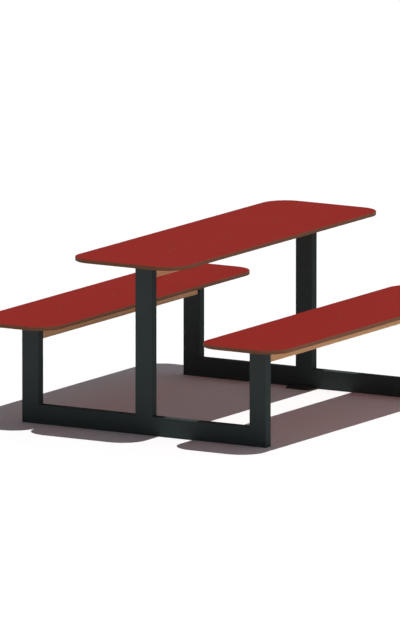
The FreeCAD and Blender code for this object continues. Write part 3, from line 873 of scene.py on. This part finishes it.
weldTree, weldKeys = makeWeldTree()
for end in ends:
    runs = []
    beamLow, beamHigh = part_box(end + "_base_beam")
    postLow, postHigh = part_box(end + "_table_post")
    gap = weld["endGap"]
    sink = weld["flushSink"]
    top = beamHigh.z
    flush = top - weld["flushDrop"]
    # round the foot of the table post
    for x in (postLow.x, postHigh.x):
        runs.append(((x, postLow.y + gap, top), (x, postHigh.y - gap, top)))
    for y in (postLow.y + sink, postHigh.y - sink):
        runs.append(((postLow.x + gap, y, flush), (postHigh.x - gap, y, flush)))
    # in the inner corner of each seat post, and under each bearer
    for line in lines:
        low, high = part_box(end + "_" + line + "_post")
        if line != "table":
            x = high.x if line == "left_seat" else low.x
            runs.append(((x, low.y + gap, top), (x, high.y - gap, top)))
        for x in (low.x, high.x):
            runs.append(((x, low.y + gap, high.z), (x, high.y - gap, high.z)))
    # along the anchor plate
    plateLow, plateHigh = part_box(end + "_anchor_plate")
    y = plateLow.y if end == "front" else plateHigh.y
    runs.append(((plateLow.x + gap, y, plateHigh.z), (plateHigh.x - gap, y, plateHigh.z)))
    points = [point for run in runs for point in run]
    edges = [(2 * i, 2 * i + 1) for i in range(len(runs))]
    piece = growPiece(end + "_frame_welds", points, edges, weldTree, weldKeys, {
        "Bead": weld["bead"], "Ripple": weld["ripple"], "Depth": weld["rippleDepth"], "Finish": coatFinish})
    joinIn(piece, "coated_steel")
print("welds run")


# Light: one hard sun from the right, a soft uneven surround, and a white floor that keeps the shadow.
light = {
    "sunTowards": (0.2612, 0.045, 1.0),
    "sunStrength": 2.7,
    "sunAngle": 0.2,
    "surround": 0.35,
    "surroundLean": (0.08, 0.11, -0.25),  # brighter to the right, at the back and low down
    "surroundTone": "#ecf4ff",
    "floorSeen": 1.04,
    "floorBounce": "#f4f4f4",
    "floorHalf": 60.0,
    "floorDrop": 0.2 * mm,  # keeps the floor clear of the beams' undersides
}


def makeSurround(spec):
    world = bpy.data.worlds.new("whiteSurround")
    world.use_nodes = True
    tree = world.node_tree
    tree.nodes.clear()
    ray = addNode(tree, "ShaderNodeLightPath").outputs
    seen = addNode(tree, "ShaderNodeMath", {
        0: ray["Is Camera Ray"], 1: ray["Is Glossy Ray"]}, operation="MAXIMUM").outputs[0]
    shown = addNode(tree, "ShaderNodeMath", {
        0: seen, 1: ray["Is Transmission Ray"]}, operation="MAXIMUM").outputs[0]
    direction = addNode(tree, "ShaderNodeTexCoord").outputs["Generated"]
    lean = addNode(tree, "ShaderNodeVectorMath", {
        0: direction, 1: spec["surroundLean"]}, operation="DOT_PRODUCT").outputs["Value"]
    glow = addNode(tree, "ShaderNodeMath", {
        0: lean, 1: spec["surround"]}, operation="ADD", use_clamp=True).outputs[0]
    soft = addNode(tree, "ShaderNodeBackground", {
        "Color": linear(spec["surroundTone"]), "Strength": glow}).outputs[0]
    white = addNode(tree, "ShaderNodeBackground", {"Color": linear("#ffffff"), "Strength": 1.0}).outputs[0]
    mixed = addNode(tree, "ShaderNodeMixShader", {0: shown, 1: soft, 2: white}).outputs[0]
    addNode(tree, "ShaderNodeOutputWorld", {"Surface": mixed})
    scene.world = world


def makeFloor(spec):
    material, tree = startMaterial("paleFloor")
    seen = addNode(tree, "ShaderNodeLightPath").outputs["Is Camera Ray"]
    seenTone = [spec["floorSeen"]] * 3 + [1.0]
    colour = addNode(tree, "ShaderNodeMix", {
        0: seen, 6: linear(spec["floorBounce"]), 7: seenTone}, data_type="RGBA").outputs[2]
    shader = addNode(tree, "ShaderNodeBsdfDiffuse", {"Color": colour}).outputs[0]
    addNode(tree, "ShaderNodeOutputMaterial", {"Surface": shader})
    half = spec["floorHalf"]
    level = -spec["floorDrop"]
    mesh = bpy.data.meshes.new("floor")
    mesh.from_pydata([(-half, -half, level), (half, -half, level), (half, half, level), (-half, half, level)],
                     [], [(0, 1, 2, 3)])
    mesh.materials.append(material)
    addObject("floor", mesh)


def makeSun(spec):
    data = bpy.data.lights.new("sun", "SUN")
    data.energy = spec["sunStrength"]
    data.angle = math.radians(spec["sunAngle"])
    away = -Vector(spec["sunTowards"])
    addObject("sun", data).rotation_euler = away.to_track_quat("-Z", "Y").to_euler()


makeSurround(light)
makeFloor(light)
makeSun(light)
scene.view_settings.view_transform = "Standard"
print("light set")


# Camera: far off with a long lens, to the right of the set's near end and a little above it.
camera = {
    "turn": 0.537245,
    "rise": 0.172874,
    "lens": 1060.0,
    "distance": 78.2472,
    "right": -0.111283,
    "up": 0.385325,
    "sensor": 36.0,
    "clip": (1.0, 400.0),
}


def makeCamera(spec):
    turn = spec["turn"]
    rise = spec["rise"]
    right = Vector((math.cos(turn), math.sin(turn), 0.0))
    up = Vector((-math.sin(turn) * math.sin(rise), math.cos(turn) * math.sin(rise), math.cos(rise)))
    back = Vector((math.sin(turn) * math.cos(rise), -math.cos(turn) * math.cos(rise), math.sin(rise)))
    data = bpy.data.cameras.new("photoCamera")
    data.lens = spec["lens"]
    data.sensor_width = spec["sensor"]
    data.clip_start, data.clip_end = spec["clip"]
    viewer = addObject("photoCamera", data)
    place = right * spec["right"] + up * spec["up"] + back * spec["distance"]
    viewer.matrix_world = Matrix.Translation(place) @ Matrix((right, up, back)).transposed().to_4x4()
    scene.camera = viewer


makeCamera(camera)
print("camera set")
